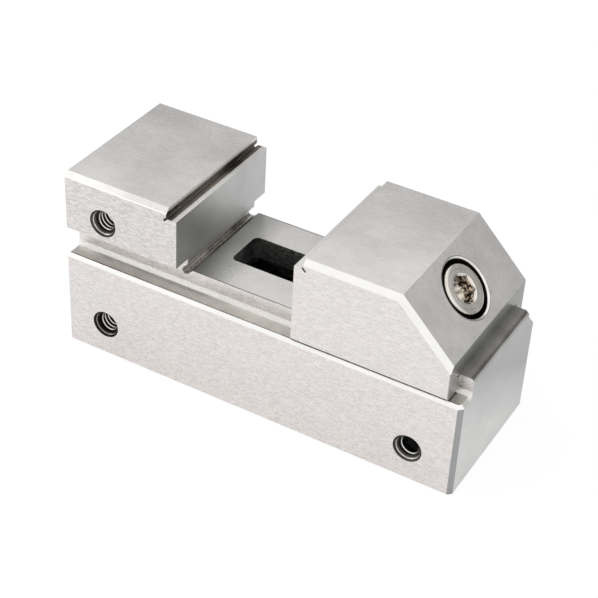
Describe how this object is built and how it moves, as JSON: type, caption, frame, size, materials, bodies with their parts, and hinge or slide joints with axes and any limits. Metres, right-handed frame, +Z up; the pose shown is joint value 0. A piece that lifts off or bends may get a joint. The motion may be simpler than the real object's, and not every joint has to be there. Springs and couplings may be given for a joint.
{
  "type": "precision vise",
  "caption": "Small screwless precision vise: one-piece base with fixed jaw, slotted bed, and a sliding jaw pulled down by an angled screw and cross pin.",
  "frame": {"origin": "centre of the underside's outline", "axes": "+Z up; +X along the length, from the fixed jaw towards the sliding jaw's slanted end; +Y to the back, away from the side with the tapped holes"},
  "size_m": [0.0666, 0.025, 0.0308],
  "materials": {
    "ground_steel": "satin ground",
    "screw_steel": "bright plated",
    "washer_steel": "turned",
    "pin_steel": "turned",
    "spring_steel": "bright wire"
  },
  "bodies": {
    "base": {"vise_body": "ground_steel"},
    "sliding_jaw": {"movable_jaw": "ground_steel", "spherical_washer": "washer_steel", "return_spring": "spring_steel"},
    "screw": {"clamping_screw": "screw_steel"},
    "nut": {"cross_pin": "pin_steel"}
  },
  "joints": [
    {"name": "jaw_slide", "type": "slide", "parent": "base", "child": "sliding_jaw", "axis": [1, 0, 0], "range_m": [-0.01945, 0.00215]},
    {"name": "screw_turn", "type": "hinge", "parent": "sliding_jaw", "child": "screw", "pos_m": [0.02668, 0, 0.02647], "axis": [-0.7071, 0, -0.7071], "range_deg": [0, 923]},
    {"name": "nut_travel", "type": "slide", "parent": "sliding_jaw", "child": "nut", "axis": [0.7071, 0, 0.7071], "range_m": [0, 0.00205], "deforming": ["return_spring"]}
  ],
  "couplings": [
    {"joint": "screw_turn", "follows": "nut_travel", "rad_per_m": 7854}
  ]
}
